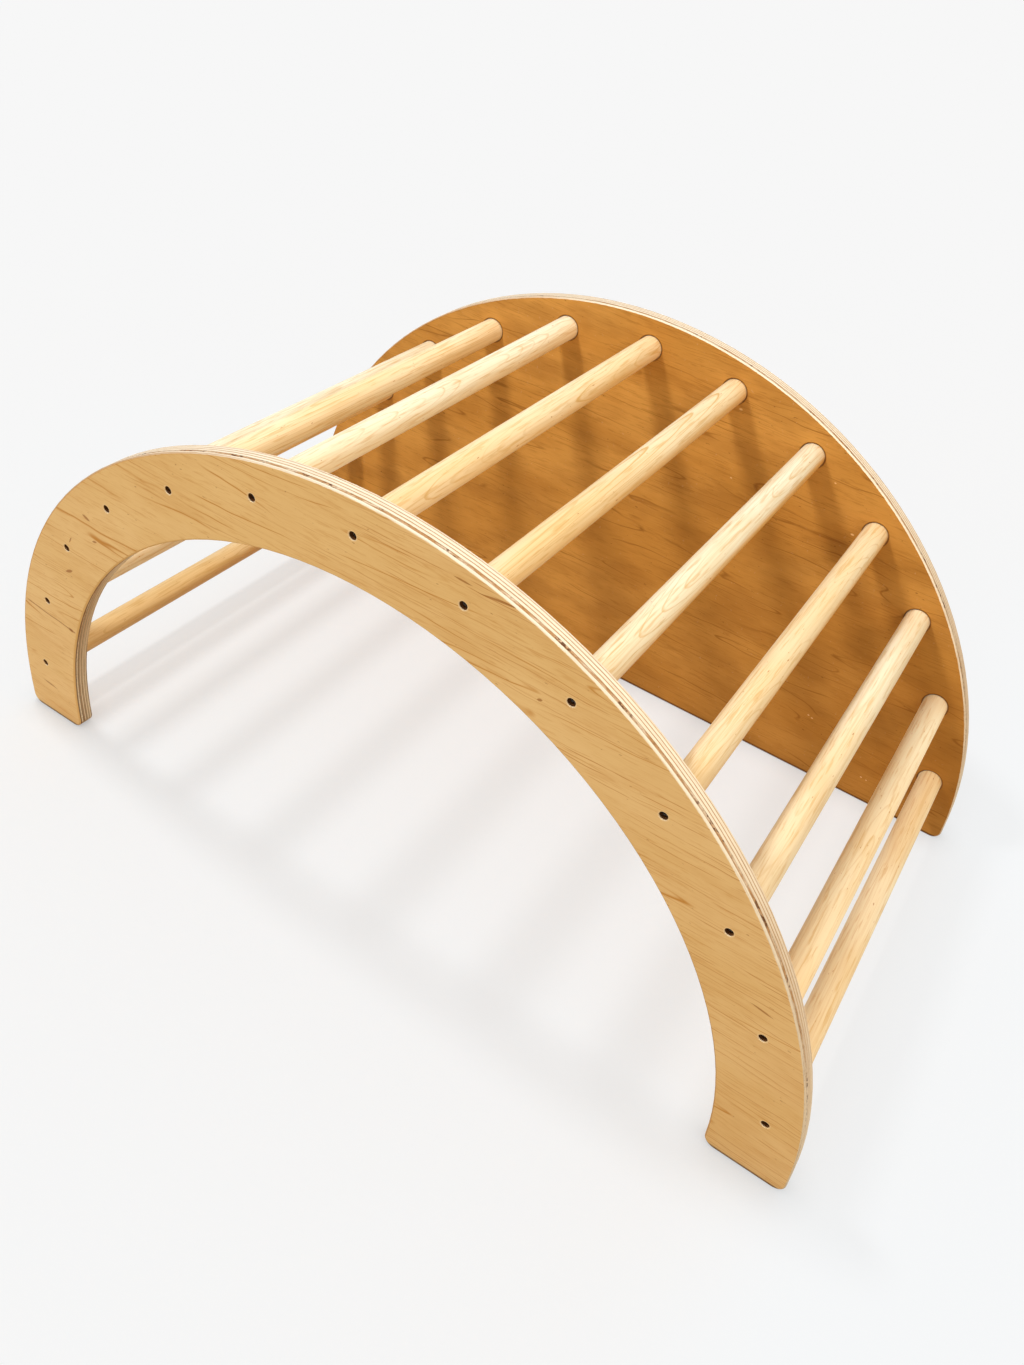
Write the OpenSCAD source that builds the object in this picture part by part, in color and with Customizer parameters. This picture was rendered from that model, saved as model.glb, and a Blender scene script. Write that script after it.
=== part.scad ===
// Wooden rocker arch: an open plywood arch and a solid plywood half disc, joined by round rungs.
// Frame: origin on the floor under the middle, +X along the arch, +Y from the arch side to the
// solid side, +Z up. It stands on its feet here; turned over, it rocks on the curved edges.

/* [Side panels] */
// Thickness of both plywood sides
panel_t = 18; // [16:1:24]
// Radius of the curved rocking edge
rocker_r = 500; // [490:5:540]
// Height of the rocking edge's centre above the floor
rocker_centre_h = 16; // [8:1:24]
// Width of the arch side's wood: the rocking edge's radius less the opening's
band_w = 81; // [75:1:95]
// How far the opening's centre lies below the rocking edge's centre
opening_drop = 4; // [0:0.5:8]
// Radius of the rounded foot corners
foot_r = 12; // [8:1:16]
// Radius of the eased long edges
ease_r = 2; // [1:0.5:3]

/* [Rungs] */
// Clear width between the two sides
span = 480; // [380:2:600]
// Diameter of a rung
rung_d = 28; // [24:1:32]
// Inset of the rungs: the rocking edge's radius less that of the rung centres' circle
rung_inset = 32.5; // [28:0.5:45]
// How far that circle's centre lies below the rocking edge's centre
rung_drop = 3; // [0:0.5:6]
// Angle between neighbouring rungs
rung_angle = 13.6; // [12.5:0.1:14]
// Bevel round each rung end
rung_bevel = 1; // [0.5:0.25:1.5]
// Depth of the blind socket that holds a rung end
socket_depth = 6; // [4:0.5:6]
// Radial clearance of a rung end in its socket
socket_gap = 0.3; // [0.1:0.05:0.5]
// Bevel round the socket mouth
socket_bevel = 0.6; // [0.2:0.1:1]

/* [Screws] */
// Diameter of a screw head
head_d = 7.4; // [6.5:0.1:9]
// Height of a screw head
head_h = 3.5; // [3:0.5:4]
// Radial clearance round a head in its counterbore
head_gap = 0.3; // [0.2:0.1:0.6]
// Depth of a head's top below the panel's outer face
head_recess = 4.5; // [3:0.5:5]
// Bevel round the counterbore mouth
mouth_bevel = 0.4; // [0.2:0.1:0.8]
// Hexagon socket in the head, across flats
hex_af = 4; // [3:0.5:5]
// Depth of the hexagon socket
hex_depth = 2.4; // [1.5:0.1:2.8]
// Diameter of the shank
shank_d = 5; // [4:0.5:5.5]
// Length of the shank and its point below the head
shank_l = 46; // [36:1:60]
// Length of the point
point_l = 6; // [4:0.5:9]
// Radial clearance of the shank in the panel
shank_gap = 0.15; // [0.1:0.05:0.3]
// Radial clearance of the shank in the rung's pilot hole
pilot_gap = 0.05; // [0.02:0.01:0.1]
// Empty depth left in the pilot hole past the point
pilot_spare = 3; // [1:0.5:6]

/* [Hidden] */
rung_names = ["rung_01", "rung_02", "rung_03", "rung_04", "rung_05", "rung_06", "rung_07",
              "rung_08", "rung_09", "rung_10", "rung_11", "rung_12", "rung_13"];

rung_count = len(rung_names);
rung_half = (rung_count - 1) / 2;
rung_circle_r = rocker_r - rung_inset;
rung_centre_h = rocker_centre_h - rung_drop;
rung_l = span + 2 * socket_depth;
opening_r = rocker_r - band_w;
opening_centre_h = rocker_centre_h - opening_drop;
inner_y = span / 2;
outer_y = inner_y + panel_t;
socket_r = rung_d / 2 + socket_gap;
head_seat = head_recess + head_h;
counterbore_r = head_d / 2 + head_gap;
rung_end_seat = panel_t - socket_depth;
pilot_depth = shank_l + head_seat + pilot_spare - rung_end_seat;
hex_corner_d = hex_af / cos(30);
cut = 1;
fn_arc = 240;
fn_rung = 64;
fn_small = 32;

ply_face = "#D8AE74";
ply_shade = "#C08A4A";
dowel_wood = "#F2DCAE";
steel = "#9A9C9E";

// Turns a shape about Z into one about Y: heights become depths measured towards +Y.
module along_y() {
    rotate([-90, 0, 0])
        children();
}

// Places its children at the centre of rung number i, counted from the +X foot.
module at_rung(i) {
    angle = (rung_half - i) * rung_angle;
    translate([rung_circle_r * sin(angle), 0, rung_centre_h + rung_circle_r * cos(angle)])
        children();
}

// Outline of a disc's radial section from its axis to its rim, both rim edges eased.
module rim_section(r) {
    difference() {
        square([r, panel_t]);
        rim_corner(r);
        translate([0, panel_t])
            mirror([0, 1])
                rim_corner(r);
    }
}

// What easing takes off one rim corner of that section.
module rim_corner(r) {
    difference() {
        translate([r - ease_r, -cut])
            square([ease_r + cut, ease_r + cut]);
        translate([r - ease_r, ease_r])
            circle(r = ease_r, $fn = fn_small);
    }
}

// Round plate of radius r with eased rims, one face on the XZ plane, its thickness towards +Y.
module eased_disc(r, centre_h, fn) {
    translate([0, 0, centre_h])
        along_y()
            rotate_extrude($fn = fn)
                rim_section(r);
}

// Cutter for a round opening whose two edges are eased.
module eased_opening(r, centre_h) {
    translate([0, 0, centre_h])
        along_y()
            rotate_extrude($fn = fn_arc)
                opening_section(r);
}

// Radial section of that cutter: it widens to the faces in quarter rounds.
module opening_section(r) {
    translate([0, -cut])
        square([r, panel_t + 2 * cut]);
    opening_lip(r);
    translate([0, panel_t])
        mirror([0, 1])
            opening_lip(r);
}

module opening_lip(r) {
    difference() {
        translate([r - cut, -cut])
            square([ease_r + cut, ease_r + cut]);
        translate([r + ease_r, ease_r])
            circle(r = ease_r, $fn = fn_small);
    }
}

// Takes off everything below the floor and eases the two long edges of the flat bottom.
module floor_cut() {
    reach = rocker_r + cut;
    translate([-reach, -cut, -rocker_r])
        cube([2 * reach, panel_t + 2 * cut, rocker_r]);
    bottom_ease();
    translate([0, panel_t, 0])
        mirror([0, 1, 0])
            bottom_ease();
}

module bottom_ease() {
    reach = rocker_r + cut;
    difference() {
        translate([-reach, -cut, -cut])
            cube([2 * reach, ease_r + cut, ease_r + cut]);
        translate([-reach - cut, ease_r, ease_r])
            rotate([0, 90, 0])
                cylinder(r = ease_r, h = 2 * (reach + cut), $fn = fn_small);
    }
}

// Rounds a foot corner at +X. The corner lies between the floor and an arc of radius r whose
// centre is arc_h high. side is 1 where the wood is inside the arc, -1 where it is outside.
module foot_corner_cut(r, arc_h, side) {
    to_round = r - side * foot_r;
    round_x = sqrt(to_round * to_round - pow(foot_r - arc_h, 2));
    tilt = atan2(foot_r - arc_h, round_x);
    far = 3 * foot_r;
    difference() {
        translate([round_x, 0, foot_r])
            along_y()
                translate([0, 0, -cut])
                    linear_extrude(panel_t + 2 * cut)
                        polygon([
                            [0, 0],
                            [side * far * cos(tilt), -side * far * sin(tilt)],
                            [side * far, far],
                            [0, far]
                        ]);
        translate([round_x, 0, 0])
            eased_disc(foot_r, foot_r, fn_rung);
    }
}

// Does the same to both feet.
module foot_corner_cuts(r, arc_h, side) {
    foot_corner_cut(r, arc_h, side);
    mirror([1, 0, 0])
        foot_corner_cut(r, arc_h, side);
}

// All holes for one rung end, cut from an outer face at y = 0 towards +Y.
module rung_fixing_holes() {
    along_y() {
        translate([0, 0, -cut])
            cylinder(r = counterbore_r, h = head_seat + cut, $fn = fn_small);
        rotate_extrude($fn = fn_small)
            bevel_section(counterbore_r, mouth_bevel);
        cylinder(r = shank_d / 2 + shank_gap, h = panel_t, $fn = fn_small);
        translate([0, 0, rung_end_seat])
            cylinder(r = socket_r, h = socket_depth + cut, $fn = fn_rung);
        translate([0, 0, panel_t])
            mirror([0, 0, 1])
                rotate_extrude($fn = fn_rung)
                    bevel_section(socket_r, socket_bevel);
    }
}

// Radial section of a 45 degree bevel round a hole mouth at height 0.
module bevel_section(r, bevel) {
    polygon([[0, -cut], [r + bevel + cut, -cut], [r, bevel], [0, bevel]]);
}

module all_fixing_holes() {
    for (i = [0 : rung_count - 1])
        at_rung(i)
            rung_fixing_holes();
}

// Open side with its outer face at y = 0.
module arch_panel() {
    difference() {
        eased_disc(rocker_r, rocker_centre_h, fn_arc);
        eased_opening(opening_r, opening_centre_h);
        floor_cut();
        foot_corner_cuts(rocker_r, rocker_centre_h, 1);
        foot_corner_cuts(opening_r, opening_centre_h, -1);
        all_fixing_holes();
    }
}

// Closed side with its outer face at y = 0.
module solid_panel() {
    difference() {
        eased_disc(rocker_r, rocker_centre_h, fn_arc);
        floor_cut();
        foot_corner_cuts(rocker_r, rocker_centre_h, 1);
        all_fixing_holes();
    }
}

module arch_side() {
    color(ply_face)
        translate([0, -outer_y, 0])
            arch_panel();
}

module solid_side() {
    color(ply_shade)
        translate([0, outer_y, 0])
            mirror([0, 1, 0])
                solid_panel();
}

// One rung, bevelled at both ends, with a pilot hole in each end for its screw.
module rung(i) {
    color(dowel_wood)
        at_rung(i)
            translate([0, -rung_l / 2, 0])
                along_y()
                    difference() {
                        rotate_extrude($fn = fn_rung)
                            rung_section();
                        pilot_hole();
                        translate([0, 0, rung_l])
                            mirror([0, 0, 1])
                                pilot_hole();
                    }
}

module rung_section() {
    r = rung_d / 2;
    polygon([
        [0, 0],
        [r - rung_bevel, 0],
        [r, rung_bevel],
        [r, rung_l - rung_bevel],
        [r - rung_bevel, rung_l],
        [0, rung_l]
    ]);
}

module pilot_hole() {
    translate([0, 0, -cut])
        cylinder(r = shank_d / 2 + pilot_gap, h = pilot_depth + cut, $fn = fn_small);
}

// One screw pointing to +Y, placed for a panel whose outer face is at y = 0.
module screw() {
    translate([0, head_recess, 0])
        along_y()
            difference() {
                rotate_extrude($fn = fn_small)
                    screw_section();
                translate([0, 0, -cut])
                    cylinder(d = hex_corner_d, h = hex_depth + cut, $fn = 6);
            }
}

module screw_section() {
    shank_r = shank_d / 2;
    shank_end = head_h + shank_l;
    polygon([
        [0, 0],
        [head_d / 2, 0],
        [head_d / 2, head_h],
        [shank_r, head_h],
        [shank_r, shank_end - point_l],
        [0, shank_end]
    ]);
}

module side_screws() {
    for (i = [0 : rung_count - 1])
        at_rung(i)
            screw();
}

module arch_side_screws() {
    color(steel)
        translate([0, -outer_y, 0])
            side_screws();
}

module solid_side_screws() {
    color(steel)
        translate([0, outer_y, 0])
            mirror([0, 1, 0])
                side_screws();
}

arch_side();
solid_side();
for (i = [0 : rung_count - 1])
    rung(i);
arch_side_screws();
solid_side_screws();
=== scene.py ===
import math
import bpy
from mathutils import Matrix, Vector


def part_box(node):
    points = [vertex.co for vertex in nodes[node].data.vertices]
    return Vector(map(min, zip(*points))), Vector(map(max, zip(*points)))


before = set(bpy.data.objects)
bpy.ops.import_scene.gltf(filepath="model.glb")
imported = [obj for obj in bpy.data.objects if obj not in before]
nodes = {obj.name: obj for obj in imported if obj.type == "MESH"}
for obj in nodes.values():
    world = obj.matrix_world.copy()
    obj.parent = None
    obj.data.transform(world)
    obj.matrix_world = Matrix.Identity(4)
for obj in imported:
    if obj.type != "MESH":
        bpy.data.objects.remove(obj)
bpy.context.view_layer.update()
print("frame loaded:", len(nodes), "pieces")


class Wire:
    # a socket that can be used in plain expressions; each operation adds its node

    def __init__(self, tree, socket):
        self.tree = tree
        self.socket = socket

    def node(self, kind, settings=None, inputs=None, output=0):
        made = self.tree.nodes.new("ShaderNode" + kind)
        for key, value in (settings or {}).items():
            setattr(made, key, value)
        for key, value in (inputs or {}).items():
            if isinstance(value, Wire):
                self.tree.links.new(value.socket, made.inputs[key])
            else:
                made.inputs[key].default_value = value
        return Wire(self.tree, made.outputs[output])

    def math(self, operation, *others, first=None):
        values = [self if first is None else first, *others]
        return self.node("Math", {"operation": operation}, dict(enumerate(values)))

    def __add__(self, other):
        return self.math("ADD", other)

    def __sub__(self, other):
        return self.math("SUBTRACT", other)

    def __mul__(self, other):
        return self.math("MULTIPLY", other)

    def __truediv__(self, other):
        return self.math("DIVIDE", other)

    def __pow__(self, other):
        return self.math("POWER", other)

    def __radd__(self, other):
        return self.math("ADD", self, first=other)

    def __rsub__(self, other):
        return self.math("SUBTRACT", self, first=other)

    def __rmul__(self, other):
        return self.math("MULTIPLY", self, first=other)

    def __rtruediv__(self, other):
        return self.math("DIVIDE", self, first=other)

    def __abs__(self):
        return self.math("ABSOLUTE")

    def ramp(self, low, high, bottom=0.0, top=1.0):
        # smooth step from bottom to top between low and high
        ends = {"From Min": low, "From Max": high, "To Min": bottom, "To Max": top}
        return self.node("MapRange", {"interpolation_type": "SMOOTHSTEP"}, {"Value": self, **ends})

    def scaled(self, x, y, z):
        return self.node("VectorMath", {"operation": "MULTIPLY"}, {0: self, 1: (x, y, z)})

    def noise(self, scale=1.0, detail=2.0, roughness=0.5):
        # read where this vector points
        inputs = {"Vector": self, "Scale": scale, "Detail": detail, "Roughness": roughness}
        return self.node("TexNoise", None, inputs)

    def over(self, under, top):
        # this mask lays colour top over colour under
        settings = {"data_type": "RGBA", "blend_type": "MIX"}
        return self.node("Mix", settings, {0: self, 6: under, 7: top}, 2)

    def bumped(self, strength, depth):
        # the surface's direction with this height on it
        return self.node("Bump", None, {"Strength": strength, "Distance": depth, "Height": self})


def paint(red, green, blue):
    # 0-255 screen colour to the linear colour that Blender stores
    def linear(value):
        value = value / 255
        return value / 12.92 if value <= 0.04045 else ((value + 0.055) / 1.055) ** 2.4
    return (linear(red), linear(green), linear(blue), 1.0)


def newMaterial(name):
    # a new material's shader, the place on the surface and the surface's direction
    material = bpy.data.materials.new(name)
    material.use_nodes = True
    tree = material.node_tree
    shader = tree.nodes["Principled BSDF"]
    where = tree.nodes.new("ShaderNodeTexCoord")
    return shader, Wire(tree, where.outputs["Object"]), Wire(tree, where.outputs["Normal"])


def split(vector, axes="XYZ"):
    # the parts of a vector that are asked for
    made = vector.node("SeparateXYZ", None, {0: vector}).socket.node
    return [Wire(vector.tree, made.outputs[axis]) for axis in axes]


def join(x, y, z):
    wires = [w for w in (x, y, z) if isinstance(w, Wire)]
    return wires[0].node("CombineXYZ", None, {0: x, 1: y, 2: z})


def plug(shader, name, wire):
    wire.tree.links.new(wire.socket, shader.inputs[name])


# the round edge that both sides share
outline = {"radius": 0.500, "centreZ": 0.016}
# the holes and sockets lie on one circle, one every step of an angle
ring = {
    "radius": 0.4675,
    "centreZ": 0.013,
    "step": math.radians(13.6),
    "hole": 0.0040,           # radius of a screw's hole
    "bevel": 0.0014,          # width of the painted highlight on the bevel round it
    "bevelDepth": 0.0016,
    "socket": 0.0143,         # radius of a rung's socket
    "jointAndShade": 0.0022,          # width of the dark joint line round it, with painted shade in its gap
}

plywood = {
    "veneer": 0.0022,         # thickness of the face veneer and the ply glued under it
    "pair": 0.0034,           # one lengthwise and one crosswise ply together
    "openShare": 0.88,        # of the first pair, whose crosswise ply is thick and open
    "thinShare": 0.32,        # of the others
    "wobble": 0.0007,         # how far the plies wander
    "glueLine": 0.12,         # width of the line between plies, as a share of a pair
    "rim": 0.0028,            # width of the worn rim towards -X
    "floorLine": (0.0022, 0.0056),        # the painted contact shadow at the floor fades between these heights
    # grain lines: from one to the next, width as a share of that, how far they stray, and how
    # often they break in a metre
    "shortLines": {"pitch": 0.0061, "width": 0.105, "stray": 3.3, "breaks": 24},
    "fineLines": {"pitch": 0.0033, "width": 0.190, "stray": 3.2, "breaks": 15},
    "curlWidth": 0.052,       # as a share of the step from one curl to the next
    # how strong these show, from 0 to 1
    "fibre": 0.13,
    "flecks": 0.55,
    "crack": 0.95,
    "streaks": 0.72,
    "nicks": 0.80,
    "glue": 0.50,
    "gaps": 0.85,
    "seams": 0.80,
    # the dark joints round the rungs, with painted shade in their gaps
    "joints": 0.85,
    # the painted contact shadow at the floor
    "floorShadow": 0.85,
    "bump": 0.30,
    "bumpDepth": 0.0003,
    "faceRough": 0.50,
    "edgeRough": 0.66,
    "gloss": 0.12,
    "cream": paint(238, 225, 201),
    "tan": paint(184, 138, 90),
    "brown": paint(182, 136, 88),
    "veneerEdge": paint(226, 184, 124),
    "umber": paint(108, 74, 42),
    "void": paint(84, 44, 20),
    # painted shade on the walls in the screw holes
    "holeShade": paint(100, 62, 30),
    # the painted highlight on the bevels of the screw holes
    "bevel": paint(240, 206, 156),
}


def grainLines(flow, lines):
    # near-parallel lines along X, each broken into lengths of its own
    z = split(flow, "Z")[0]
    phase = z / lines["pitch"] + flow.scaled(3.2, 1, 26).noise(detail=2) * lines["stray"]
    line = abs(phase.math("FRACT") - 0.5).ramp(0, lines["width"], 1, 0)
    pick = phase.math("FLOOR")
    kept = pick.node("TexWhiteNoise", {"noise_dimensions": "1D"}, {"W": pick}).ramp(0.25, 0.85)
    broken = flow.scaled(lines["breaks"], 1, 0.7 / lines["pitch"]).noise(detail=2).ramp(0.44, 0.60)
    return line * kept * broken


def curlLines(spot, flow, turns):
    # the closed wavy lines of a peeled veneer
    figure = spot.scaled(1.7, 1, 17).noise(detail=2, roughness=0.4)
    figure = figure + (flow.scaled(13, 1, 30).noise(detail=2) - 0.5) * 0.055
    line = abs((figure * turns).math("FRACT") - 0.5).ramp(0, plywood["curlWidth"], 1, 0)
    return line * flow.scaled(7, 1, 40).noise(detail=2).ramp(0.44, 0.60)


def fromRing(place):
    # distance to the axis of the nearest rung
    x, z = split(place, "XZ")
    up = z - ring["centreZ"]
    radial = (x * x + up * up) ** 0.5 - ring["radius"]
    turn = up.math("ARCTAN2", x) - math.pi / 2
    steps = (turn / ring["step"]).math("ROUND")
    sideways = (turn - steps * ring["step"]) * ring["radius"]
    return (radial * radial + sideways * sideways) ** 0.5


def crackLook(place, crack):
    # one fine split in the veneer, with a small dark knot at its inner end
    x, z = split(place, "XZ")
    bend = place.scaled(22, 0, 22).noise(detail=1) - 0.5
    fromEnd = x - crack["x"]
    fromLine = abs(z - crack["z"] - fromEnd * crack["slope"] + bend * crack["bend"])
    along = fromEnd / crack["length"]
    line = fromLine.ramp(0.0003, 0.0014, 1, 0)
    line = line * along.ramp(-1.0, -0.9) * along.ramp(-0.01, 0.0, 1, 0)
    knot = ((fromLine * 2) ** 2 + (fromEnd + crack["knot"]) ** 2) ** 0.5
    return (line * 0.8).math("MAXIMUM", knot.ramp(0.002, 0.006, 1, 0))


def streakLook(place, streaks):
    # short dark strokes of the grain, pointed at both ends
    x, z = split(place, "XZ")
    bend = place.scaled(26, 0, 26).noise(detail=1) - 0.5
    marks = 0.0
    for streakX, streakZ, half, slope, thick in streaks:
        along = x - streakX
        fromLine = abs(z - streakZ - along * slope + bend * 0.004)
        taper = (abs(along) / half).ramp(0.2, 1.0, thick, 0.0) + 0.0001
        ends = abs(along).ramp(half * 0.8, half, 1, 0)
        marks = (fromLine / taper).ramp(0.4, 1.3, 1, 0) * ends + marks
    return marks


def nickLook(place, nicks):
    # small pale dents where the finish is gone
    x, z = split(place, "XZ")
    rough = place.scaled(400, 0, 400).noise(detail=2) - 0.5
    marks = 0.0
    for nickX, nickZ, size in nicks:
        away = ((x - nickX) ** 2 + ((z - nickZ) * 1.8) ** 2) ** 0.5 + rough * 0.0016
        marks = away.ramp(size * 0.5, size, 1, 0) + marks
    return marks


def veneerLook(place, tones, seed):
    x, y, z = split(place)
    # the seed and the depth give each face a figure of its own
    along = x + seed
    depth = y * 40
    spot = join(along, depth, z)
    sway = spot.scaled(2.6, 1, 8).noise(detail=2) - 0.5
    ripple = spot.scaled(15, 1, 32).noise(detail=2) - 0.5
    wrinkle = spot.scaled(48, 1, 90).noise(detail=1) - 0.5
    flow = join(along, depth, z + sway * 0.024 + ripple * 0.0050 + wrinkle * 0.0014)
    cloud = spot.scaled(5, 1, 13).noise(detail=3, roughness=0.55)
    blush = flow.scaled(11, 1, 44).noise(detail=4, roughness=0.62)
    fibre = flow.scaled(60, 1, 900).noise(detail=2)
    threads = flow.scaled(38, 1, 420).noise(detail=3, roughness=0.6)
    busy = (spot.scaled(4, 1, 9).noise(detail=2) + x * tones["lean"]).ramp(0.36, 0.66, 0.30, 1.0)
    curl = curlLines(spot, flow, tones["turns"])
    patch = spot.scaled(15, 1, 30).noise(detail=2).ramp(0.42, 0.70)
    short = grainLines(flow, plywood["shortLines"])
    fine = grainLines(flow.scaled(1.3, 1, 1), plywood["fineLines"])
    flecks = flow.scaled(150, 1, 480).noise(detail=1).ramp(0.765, 0.80)
    # painted shade, deepening towards the bottom and towards +X
    shadeFade = (z * 0.8 - x * 0.6).ramp(-0.25, 0.45, tones["shadeFade"], 0)
    colour = cloud.ramp(0.34, 0.66).over(tones["light"], tones["mid"])
    colour = (patch * tones["patch"]).over(colour, tones["line"])
    colour = (blush.ramp(0.46, 0.72) * tones["blush"]).over(colour, tones["line"])
    colour = (threads.ramp(0.54, 0.68) * tones["threads"]).over(colour, tones["line"])
    colour = shadeFade.over(colour, tones["line"])
    colour = (fibre.ramp(0.40, 0.80) * plywood["fibre"]).over(colour, tones["line"])
    colour = (fine * busy * tones["fine"]).over(colour, tones["deep"])
    colour = (short * busy * tones["short"]).over(colour, tones["line"])
    colour = (curl * tones["curl"]).over(colour, tones["line"])
    colour = (flecks * plywood["flecks"]).over(colour, tones["dark"])
    relief = fibre * 0.3 - short * 0.15 - curl * 0.1 - flecks * 0.3
    if "crack" in tones:
        crack = crackLook(place, tones["crack"])
        colour = (crack * plywood["crack"]).over(colour, tones["dark"])
        relief = relief - crack * 0.4
    if "streaks" in tones:
        streaks = streakLook(place, tones["streaks"])
        colour = (streaks * plywood["streaks"]).over(colour, tones["dark"])
        relief = relief - streaks * 0.3
    if "nicks" in tones:
        nicks = nickLook(place, tones["nicks"])
        colour = (nicks * plywood["nicks"]).over(colour, tones["bare"])
        relief = relief - nicks
    return colour, relief


def plyLayers(place, start):
    # the depth below the start face's veneer, in pairs of plies, and where the crosswise plies are:
    # the thick open one first, then thin ones
    y = split(place, "Y")[0]
    wobble = place.scaled(24, 10, 24).noise(detail=2) - 0.5
    level = (y - start - plywood["veneer"] + wobble * plywood["wobble"]) / plywood["pair"]
    inPair = level.math("FRACT")
    share = plywood["openShare"]
    opened = level.ramp(-0.05, 0.05) * level.ramp(share - 0.05, share + 0.05, 1, 0)
    thin = (inPair + plywood["thinShare"]).ramp(0.92, 1.04) * inPair.ramp(0.94, 1.0, 1, 0)
    return level, opened, thin * level.ramp(0.98, 1.02)


def plyEdgeLook(place, facing, start):
    x, z = split(place, "XZ")
    nx, nz = split(facing, "XZ")
    level, opened, thin = plyLayers(place, start)
    # each pair has a tint of its own, and so has each side
    pick = level.math("FLOOR") + start * 10
    tint = pick.node("TexWhiteNoise", {"noise_dimensions": "1D"}, {"W": pick})
    # a ply shows its dark end grain where its fibres run into the edge
    across = (nx * nx + nz * nz) ** 0.5 + 0.001
    crossEnd = abs(nz / across).ramp(0.05, 0.50)
    longEnd = abs(nx / across).ramp(0.62, 1.0) * (1 - opened - thin)
    endOn = (opened + thin) * crossEnd + longEnd
    speck = place.scaled(420, 700, 420).noise(detail=2)
    hairs = place.scaled(30, 1300, 30).noise(detail=2)
    colour = (hairs.ramp(0.45, 0.75) * 0.30).over(plywood["cream"], plywood["tan"])
    colour = (thin * crossEnd * (0.70 + tint * 0.30)).over(colour, plywood["tan"])
    colour = (longEnd * (0.25 + tint * 0.35)).over(colour, plywood["brown"])
    patches = place.scaled(60, 400, 60).noise(detail=2).ramp(0.35, 0.60, 0.45, 1.0)
    colour = (opened * crossEnd * patches).over(colour, plywood["brown"])
    colour = (speck.ramp(0.48, 0.70) * (opened * 0.30 + endOn * 0.18)).over(colour, plywood["umber"])
    colour = (hairs.ramp(0.52, 0.75) * endOn * 0.30).over(colour, plywood["umber"])
    # 1 on the arch's inner edge, which faces its middle
    inward = (nx * x + nz * z).ramp(-0.05, 0.02, 1, 0)
    fromOpen = abs(level - plywood["openShare"])
    glue = abs(level).ramp(0.0, plywood["glueLine"], 1, 0) + fromOpen.ramp(0.0, 0.10, 1, 0)
    colour = (glue * plywood["glue"]).over(colour, plywood["umber"])
    gap = place.scaled(34, 4, 34).noise(detail=2).ramp(0.50, 0.58)
    gap = gap * place.scaled(230, 300, 230).noise(detail=2).ramp(0.50, 0.58)
    gap = gap * opened * (1 - inward * 0.9)
    colour = (gap * plywood["gaps"]).over(colour, plywood["void"])
    # painted shade on the arch's inner edge, which lies under the arch, deepening its dark end grain
    strands = place.scaled(7, 1100, 7).noise(detail=2).ramp(0.44, 0.58)
    innerEdgeShade = inward * longEnd * level.ramp(-0.08, 0.02) * (0.20 + tint * 0.30 + strands * 0.42)
    colour = innerEdgeShade.over(colour, plywood["umber"])
    colour = (inward * level.ramp(-0.10, 0.0, 1, 0)).over(colour, plywood["veneerEdge"])
    seam = abs(level - plywood["glueLine"]).ramp(0.05, 0.38, 1, 0) + fromOpen.ramp(0.0, 0.14, 0.5, 0)
    colour = (inward * seam * plywood["seams"]).over(colour, plywood["void"])
    return colour, speck * endOn * 0.5 - glue * 0.6 - gap * 2


def drilledLook(colour, toAxis, fromOuter, fromInner):
    # a painted highlight on the bevel round each screw's hole, painted shade on the walls in it,
    # and a dark joint round each rung, with painted shade in its gap
    hole = ring["hole"]
    # painted highlight on the bevel round the hole
    bevel = toAxis.ramp(hole + ring["bevel"] * 0.5, hole + ring["bevel"], 1, 0)
    bevel = bevel * fromOuter.ramp(0.0, ring["bevelDepth"], 0.8, 0)
    colour = bevel.over(colour, plywood["bevel"])
    # painted shade on the walls inside each hole
    shadedWalls = toAxis.ramp(hole, hole + 0.0005, 1, 0) * fromOuter.ramp(0.0004, 0.0014)
    colour = shadedWalls.over(colour, plywood["holeShade"])
    # the dark joint round each rung, with painted shade in its gap
    jointAndShade = toAxis.ramp(ring["socket"] + 0.0005, ring["socket"] + ring["jointAndShade"], 1, 0)
    jointAndShade = jointAndShade * fromInner.ramp(0.0, 0.003, 1, 0)
    return (jointAndShade * plywood["joints"]).over(colour, plywood["void"])


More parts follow.
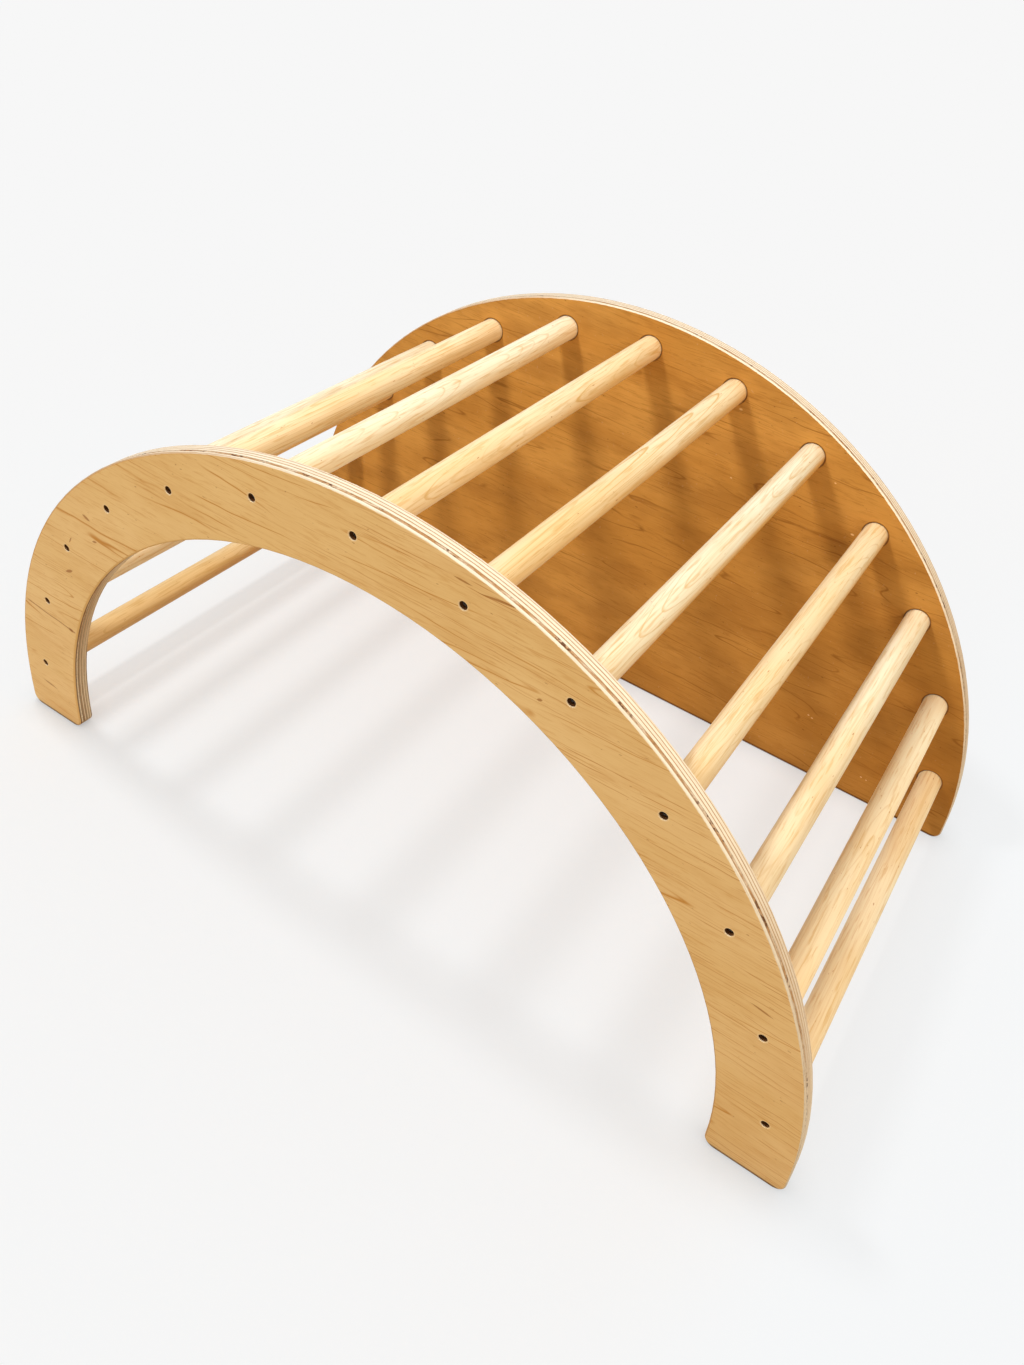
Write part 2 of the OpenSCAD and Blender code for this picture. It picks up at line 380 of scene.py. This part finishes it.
def plywoodMaterial(name, node, tones, seed):
    low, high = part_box(node)
    outer = low.y if abs(low.y) > abs(high.y) else high.y
    inner = high.y if outer == low.y else low.y
    shader, place, facing = newMaterial(name)
    faceColour, faceRelief = veneerLook(place, tones, seed)
    edgeColour, edgeRelief = plyEdgeLook(place, facing, low.y)
    x, y, z = split(place)
    nx, ny = split(facing, "XY")
    sideways = abs(ny)
    # the face veneer ends in a ragged line on the eased edge
    ragged = place.scaled(260, 120, 260).noise(detail=3) - 0.5
    onFace = (sideways + ragged * 0.12).ramp(0.90, 0.985)
    colour = onFace.over(edgeColour, faceColour)
    toAxis = fromRing(place)
    fromOuter = abs(y - outer)
    if "plain" in tones:
        outerFace = onFace * fromOuter.ramp(0.0, 0.001, 1, 0)
        colour = (outerFace * tones["plain"]).over(colour, tones["light"])
    colour = drilledLook(colour, toAxis, fromOuter, abs(y - inner))
    # the eased edge towards -X is worn darker, and so is the face's rim there
    eased = sideways.ramp(0.30, 0.60) * sideways.ramp(0.975, 0.995, 1, 0)
    eased = eased * toAxis.ramp(0.006, 0.007) * nx.ramp(-0.30, -0.05, 0.75, 0)
    colour = eased.over(colour, plywood["brown"])
    fromCentre = (x * x + (z - outline["centreZ"]) ** 2) ** 0.5
    rimStart = outline["radius"] - plywood["rim"]
    rim = fromCentre.ramp(rimStart, rimStart + 0.0016) * x.ramp(-0.20, -0.05, 0.55, 0)
    colour = (rim * onFace).over(colour, tones["line"])
    # painted contact shadow along the line where it stands on the floor
    contactShadow = z.ramp(*plywood["floorLine"], 1, 0)
    colour = (contactShadow * plywood["floorShadow"]).over(colour, plywood["void"])
    plug(shader, "Base Color", colour)
    relief = onFace * faceRelief + (1 - onFace) * edgeRelief
    plug(shader, "Normal", relief.bumped(plywood["bump"], plywood["bumpDepth"]))
    rough = onFace.ramp(0, 1, plywood["edgeRough"], plywood["faceRough"]) + faceRelief * 0.06
    plug(shader, "Roughness", rough)
    shader.inputs["Specular IOR Level"].default_value = plywood["gloss"]


nearTones = {
    "light": paint(241, 202, 142),
    "mid": paint(235, 194, 131),
    "line": paint(198, 134, 54),
    "deep": paint(186, 117, 42),
    "dark": paint(154, 88, 24),
    # how strong each layer of the figure is
    "patch": 0.06,
    "blush": 0.20,
    "threads": 0.28,
    # how deep the painted shade towards the bottom and +X is
    "shadeFade": 0.12,
    "lean": 0.42,             # how much busier the grain gets towards +X
    "fine": 0.86,
    "short": 0.56,
    "curl": 0.96,
    "turns": 9.0,             # curls from the figure's lowest place to its highest
    # the split's inner end, its slope, length and bend, and how far from that end its knot lies
    "crack": {"x": -0.393, "z": 0.1645, "slope": -0.09, "length": 0.080,
              "bend": 0.006, "knot": 0.007},
    # x, z, half length, slope and thickness of each, in metres
    "streaks": [
        (0.108, 0.4905, 0.010, -0.05, 0.0010), (0.142, 0.4885, 0.022, 0.10, 0.0012),
        (-0.383, 0.2540, 0.007, 0.50, 0.0022), (-0.339, 0.3415, 0.006, -0.30, 0.0022),
        (-0.371, 0.2990, 0.003, 1.50, 0.0016), (-0.332, 0.3160, 0.004, 0.30, 0.0014),
        (0.187, 0.4150, 0.003, 0.30, 0.0016), (0.245, 0.3350, 0.016, -0.15, 0.0010),
        (0.425, 0.2200, 0.012, -0.10, 0.0010), (-0.462, 0.0480, 0.014, -0.12, 0.0012),
    ],
}
farTones = {
    "light": paint(206, 148, 72),
    "mid": paint(194, 135, 60),
    "line": paint(140, 86, 28),
    "deep": paint(126, 76, 24),
    "dark": paint(90, 50, 14),
    "bare": paint(240, 200, 140),
    "patch": 0.30,
    "blush": 0.24,
    "threads": 0.30,
    # how deep the painted shade towards the bottom and +X is
    "shadeFade": 0.33,
    "lean": 0.0,
    "fine": 0.30,
    "short": 0.50,
    "curl": 0.72,
    "turns": 11.0,
    "plain": 0.5,             # how much plainer and lighter the outer face is
    # x, z and size of each, in metres
    "nicks": [
        (0.122, 0.450, 0.0028), (0.130, 0.364, 0.0016), (0.302, 0.091, 0.0016),
        (0.307, 0.089, 0.0018), (0.388, 0.037, 0.0018), (0.395, 0.036, 0.0016),
        (0.282, 0.356, 0.0026), (0.247, 0.408, 0.0016),
    ],
}

plywoodMaterial("arch plywood", "arch_side", nearTones, 3.1)
plywoodMaterial("solid plywood", "solid_side", farTones, 8.7)
print("plywood finished")

dowel = {
    "ringStep": 0.0036,       # from one growth ring to the next
    # the trunk's axis, seen from the rung's: its direction in degrees, its distance and how much it
    # leans, each with the step by which the rungs differ
    "turn": (62, 38),
    "reach": (0.030, 0.016),
    "lean": (0.030, 0.011),
    "bump": 0.22,
    "bumpDepth": 0.0002,
    "rough": 0.42,
    "gloss": 0.35,
    "pale": paint(251, 241, 213),
    "honey": paint(245, 208, 147),
    "line": paint(215, 165, 84),
    "dark": paint(190, 122, 56),
    # the painted shade on the rungs' undersides
    "shadeAmber": paint(222, 168, 98),
    # how strong each layer of the figure is
    "blush": 0.24,
    "rings": 0.85,
    "fibre": 0.32,
    "strokes": 0.44,
    "flecks": 0.75,
    # for each rung from the +X foot: its share of honey, how much more it has at the arch side, how
    # deep the painted amber shade on its underside is (full already past 1), how light it is in its
    # own tone and painted light and shade together, and how plain its rings show
    "each": [
        (0.42, -0.20, 0.00, 1.03, 0.35),
        (0.52, 0.45, 0.00, 1.06, 0.35),
        (0.38, 0.30, 0.10, 0.87, 0.30),
        (0.57, 0.00, 0.95, 0.87, 0.50),
        (0.16, 0.55, 1.15, 0.89, 0.60),
        (0.66, 0.00, 0.70, 0.93, 1.00),
        (0.62, 0.00, 0.42, 0.98, 1.00),
        (0.18, 0.00, 0.22, 0.98, 0.50),
        (0.56, 0.20, 0.00, 1.01, 0.80),
        (0.10, 0.20, 0.00, 0.98, 0.45),
        (0.82, 0.00, 0.00, 1.01, 0.80),
        (0.38, 0.00, 0.20, 0.93, 0.50),
        (0.95, 0.00, 0.90, 0.79, 0.60),
    ],
}


def dowelMaterial(name, node, index):
    low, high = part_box(node)
    centre = (low + high) / 2
    tint, grade, under, lightAndShade, figure = dowel["each"][index]
    turn = math.radians(dowel["turn"][0] + dowel["turn"][1] * (index % 3 - 1))
    reach = dowel["reach"][0] + dowel["reach"][1] * (index * 7 % 4)
    lean = (dowel["lean"][0] + dowel["lean"][1] * (index * 5 % 4)) * (-1) ** index
    shader, place, facing = newMaterial(name)
    local = place.node("VectorMath", {"operation": "SUBTRACT"}, {0: place, 1: centre})
    a, b, c = split(local)
    drift = (join(b * 7, a * 6 + index * 3.7, c * 6 + index * 1.3).noise(detail=2) - 0.5) * 0.018
    u = a - reach * math.cos(turn) + drift + b * lean
    v = c - reach * math.sin(turn) + drift * 0.5 + b * lean
    ripple = join(a * 60, b * 12, c * 60 + index).noise(detail=2) - 0.5
    radius = (u * u + v * v) ** 0.5 + ripple * 0.0011
    grown = (radius / dowel["ringStep"]).math("FRACT")
    late = grown.ramp(0.78, 0.94) * grown.ramp(0.95, 1.0, 1, 0)
    strength = join(radius * 90, index * 5.1, b * 6).noise(detail=2).ramp(0.35, 0.65)
    late = late * (0.15 + strength * 0.85) * figure
    fibre = join(a * 480, b * 9, c * 480 + index).noise(detail=3, roughness=0.6)
    strokes = join(a * 380, b * 26, c * 380 + index).noise(detail=3).ramp(0.54, 0.66)
    blush = join(a * 30, b * 8, c * 30 + index * 2.3).noise(detail=3).ramp(0.48, 0.72)
    flecks = join(a * 520, b * 120, c * 520 + index).noise(detail=1).ramp(0.755, 0.79)
    tone = join(a * 14, b * 4, c * 14 + index).noise(detail=2)
    nx, nz = split(facing, "XZ")
    side = nx * 0.8 - nz * 0.6
    share = tone.ramp(0.30, 0.70, tint - 0.15, tint + 0.25)
    # painted highlight: the side facing up and towards -X gets less honey and shows paler
    share = share - b * grade * 2 - side.ramp(-1.0, -0.3, 0.12, 0)
    colour = share.math("MAXIMUM", 0.0).math("MINIMUM", 1.0).over(dowel["pale"], dowel["honey"])
    # painted shade: the underside turns amber, deeper towards the solid side
    paintedUnderShade = side.ramp(0.35, 0.85) * b.ramp(-0.24, 0.12, under * 0.35, under)
    colour = paintedUnderShade.over(colour, dowel["shadeAmber"])
    colour = (blush * dowel["blush"]).over(colour, dowel["line"])
    colour = (late * dowel["rings"]).over(colour, dowel["line"])
    colour = (fibre.ramp(0.45, 0.70) * dowel["fibre"]).over(colour, dowel["line"])
    colour = (strokes * dowel["strokes"]).over(colour, dowel["line"])
    colour = (flecks * dowel["flecks"]).over(colour, dowel["dark"])
    # painted light and shade: each rung is scaled lighter or darker, its own tone and its light
    # together
    colour = colour.scaled(lightAndShade, lightAndShade, lightAndShade)
    plug(shader, "Base Color", colour)
    relief = fibre * 0.6 + late * 0.3
    plug(shader, "Normal", relief.bumped(dowel["bump"], dowel["bumpDepth"]))
    plug(shader, "Roughness", dowel["rough"] + fibre * 0.10)
    shader.inputs["Specular IOR Level"].default_value = dowel["gloss"]


rungNames = sorted(n for n in nodes if n.startswith("rung_"))
for index, node in enumerate(rungNames):
    dowelMaterial("dowel " + node, node, index)
print("rungs finished:", len(rungNames))

screwFinish = {
    "dull": paint(128, 126, 123),
    "bright": paint(196, 194, 190),
    "grain": 900,             # brushed marks in a metre
    "rough": (0.28, 0.50),
}


def steelMaterial(name):
    shader, place = newMaterial(name)[:2]
    grain = place.noise(screwFinish["grain"], detail=3)
    plug(shader, "Base Color", grain.over(screwFinish["dull"], screwFinish["bright"]))
    plug(shader, "Roughness", grain.ramp(0.3, 0.7, *screwFinish["rough"]))
    shader.inputs["Metallic"].default_value = 1.0


steelMaterial("screw steel")
finishes = {"arch_side": "arch plywood", "solid_side": "solid plywood"}
finishes.update({node: "dowel " + node for node in rungNames})
finishes.update({"arch_side_screws": "screw steel", "solid_side_screws": "screw steel"})
for node, finish in finishes.items():
    if not nodes[node].material_slots:
        nodes[node].data.materials.append(None)
    for slot in nodes[node].material_slots:
        slot.material = bpy.data.materials[finish]
print("screws finished, and every piece has its material")

room = {
    "reach": 60.0,            # from the middle of the floor to its sides
    "drop": 0.0002,           # how far the floor lies below the feet
    "backdrop": 0.930,        # shown brightness of floor and background
    "shade": 0.48,            # share of the floor's look that takes shadows
    "shadeRight": 0.22,       # the same past the +X foot
    "shadeEdge": (0.36, 0.56),            # X where the first share ends and the other starts
    "crease": 0.32,           # how much painted shade the floor's glow takes right beside the wood
    "creaseReach": 0.035,
    "sky": 0.58,              # strength of the light from all round
    "bounce": (0.94, 0.77, 0.46, 1.0),    # the floor's colour in the light that it throws back
    "floorTone": (0.93, 0.98, 1.02),      # against the wood's warm light on it
    "cool": (-0.008, 0.012, 0.026),       # what red, green and blue gain round the object
    "coolEdge": (0.6, 1.3),               # from the middle, where that starts to fade and ends
}
# level is the brightness on white paper that faces the lamp, for the last one at its reach
overhead = {"place": (-0.484, -0.17, 1.77), "radius": 0.10, "level": 0.25}
front = {"place": (-0.51, -0.90, 1.60), "radius": 0.12, "level": 0.42}
right = {
    "place": (1.30, -0.30, 1.50),
    "radius": 0.35,
    "level": 0.48,
    "reach": 1.6,
    "colour": (1.0, 0.86, 0.66),
}


def makeFloor():
    mesh = bpy.data.meshes.new("floor")
    r = room["reach"]
    mesh.from_pydata([(-r, -r, 0), (r, -r, 0), (r, r, 0), (-r, r, 0)], [], [(0, 1, 2, 3)])
    floor = bpy.data.objects.new("floor", mesh)
    bpy.context.scene.collection.objects.link(floor)
    floor.location.z = -room["drop"]
    mesh.materials.append(floorMaterial())


def floorMaterial():
    material = bpy.data.materials.new("floor")
    material.use_nodes = True
    tree = material.node_tree
    tree.nodes.clear()
    out = tree.nodes.new("ShaderNodeOutputMaterial")
    direct = backdropRays(tree)
    where = Wire(tree, tree.nodes.new("ShaderNodeTexCoord").outputs["Object"])
    x, y = split(where, "XY")
    lampX, lampY, height = overhead["place"]
    # the lamp's light on open floor, taken off the glow so that the floor looks even
    spread = ((x - lampX) ** 2 + (y - lampY) ** 2 + height ** 2) ** 0.5 / height
    lamp = overhead["level"] / spread
    shade = x.ramp(*room["shadeEdge"], room["shade"], room["shadeRight"])
    tones = [shade * share for share in room["floorTone"]]
    glow = [room["backdrop"] - tone * (lamp + room["sky"]) for tone in tones]
    # and a shade cooler round the object
    near = ((x * x + y * y) ** 0.5).ramp(*room["coolEdge"], 1, 0)
    glow = [wire * (1 + near * cool) for wire, cool in zip(glow, room["cool"])]
    # painted shade: ambient occlusion darkens the glow in the creases beside the wood
    clear = direct.node("AmbientOcclusion", {"samples": 8}, {"Distance": room["creaseReach"]}, "AO")
    clear = clear * room["crease"] + (1 - room["crease"])
    glow = [wire * clear for wire in glow]
    plain = direct.node("BsdfDiffuse", None, {"Color": room["bounce"]})
    shown = direct.node("BsdfDiffuse", None, {"Color": join(*tones)})
    light = direct.node("Emission", None, {"Color": join(*glow), "Strength": 1.0})
    both = direct.node("AddShader", None, {0: shown, 1: light})
    mixed = direct.node("MixShader", None, {0: direct, 1: plain, 2: both})
    tree.links.new(mixed.socket, out.inputs["Surface"])
    return material


def backdropRays(tree):
    # 1 for what the camera sees, straight, in a gloss or through something clear
    path = tree.nodes.new("ShaderNodeLightPath").outputs
    straight = Wire(tree, path["Is Camera Ray"])
    glossy = Wire(tree, path["Is Glossy Ray"])
    through = Wire(tree, path["Is Transmission Ray"])
    return straight.math("MAXIMUM", glossy).math("MAXIMUM", through)


def makeWorld():
    world = bpy.data.worlds.new("studio")
    bpy.context.scene.world = world
    world.use_nodes = True
    tree = world.node_tree
    tree.nodes.clear()
    out = tree.nodes.new("ShaderNodeOutputWorld")
    direct = backdropRays(tree)
    white = (1, 1, 1, 1)
    sky = direct.node("Background", None, {"Color": white, "Strength": room["sky"]})
    seen = direct.node("Background", None, {"Color": white, "Strength": room["backdrop"]})
    mixed = direct.node("MixShader", None, {0: direct, 1: sky, 2: seen})
    tree.links.new(mixed.socket, out.inputs["Surface"])


def makeLamp(name, facts, even):
    lamp = bpy.data.lights.new(name, "POINT")
    lamp.shadow_soft_size = facts["radius"]
    lamp.color = facts.get("colour", (1.0, 1.0, 1.0))
    # 4 pi squared watts make white paper 1 bright at 1 m
    lamp.energy = facts["level"] * 4 * math.pi ** 2 * facts.get("reach", 1.0) ** 2
    holder = bpy.data.objects.new(name, lamp)
    holder.location = facts["place"]
    bpy.context.scene.collection.objects.link(holder)
    if even:
        # as strong far away as near, which a big softbox is over this distance
        lamp.use_nodes = True
        tree = lamp.node_tree
        falloff = tree.nodes.new("ShaderNodeLightFalloff")
        falloff.inputs["Strength"].default_value = 1.0
        tree.links.new(falloff.outputs["Constant"], tree.nodes["Emission"].inputs["Strength"])
    return holder


def shineOnlyOn(lamp, pieces):
    # the rest of the object still throws its shadow there
    lit = bpy.data.collections.new(lamp.name + " lights")
    for piece in pieces:
        lit.objects.link(nodes[piece])
    lamp.light_linking.receiver_collection = lit


camera = {
    "place": (0.468455, -0.792862, 0.982012),
    "turn": 25.792,           # degrees, left of +Y
    "pitch": 54.075,          # up from straight down
    "roll": 9.406,
    "focal": 28.267,
    "sensor": 36.0,
    "shift": (-0.0561, -0.0824),
    "farthest": 200.0,        # it sees the whole floor
}


def makeCamera():
    data = bpy.data.cameras.new("camera")
    data.sensor_fit = "AUTO"
    data.sensor_width = camera["sensor"]
    data.lens = camera["focal"]
    data.shift_x, data.shift_y = camera["shift"]
    data.clip_end = camera["farthest"]
    holder = bpy.data.objects.new("camera", data)
    turn = Matrix.Rotation(math.radians(camera["turn"]), 4, "Z")
    pitch = Matrix.Rotation(math.radians(camera["pitch"]), 4, "X")
    roll = Matrix.Rotation(math.radians(camera["roll"]), 4, "Z")
    holder.matrix_world = Matrix.Translation(camera["place"]) @ turn @ pitch @ roll
    bpy.context.scene.collection.objects.link(holder)
    bpy.context.scene.camera = holder


makeFloor()
makeWorld()
makeLamp("overhead", overhead, True)
shineOnlyOn(makeLamp("front", front, True), nodes)
shineOnlyOn(makeLamp("right", right, False), nodes)
makeCamera()
bpy.context.scene.view_settings.view_transform = "Standard"
print("room finished")
